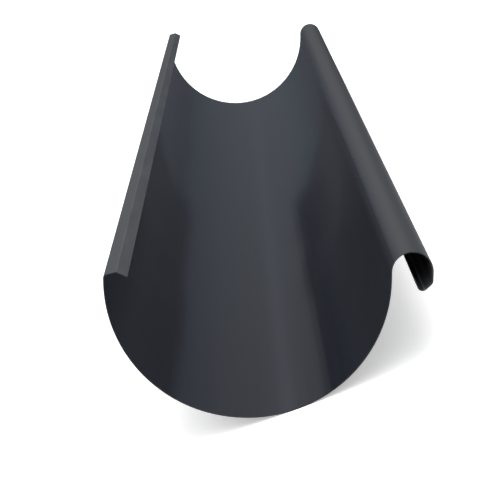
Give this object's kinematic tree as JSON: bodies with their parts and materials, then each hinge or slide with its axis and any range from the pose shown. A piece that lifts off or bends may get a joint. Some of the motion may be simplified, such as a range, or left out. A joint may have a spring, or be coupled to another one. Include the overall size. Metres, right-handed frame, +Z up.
{
  "type": "gutter section",
  "caption": "Straight half-round rain gutter section rolled from one steel sheet, with a rolled front bead and a bent-in rear lip.",
  "frame": {"origin": "centre of the bounding box, on the floor", "axes": "+Y along the gutter, +X towards the front bead, +Z up; the section is rolled 21 degrees towards the bead, as the free gutter lies"},
  "size_m": [0.1692, 1, 0.1066],
  "materials": {
    "painted_steel": "satin anthracite coil coating"
  },
  "bodies": {
    "root": {"gutter": "painted_steel"}
  },
  "joints": []
}
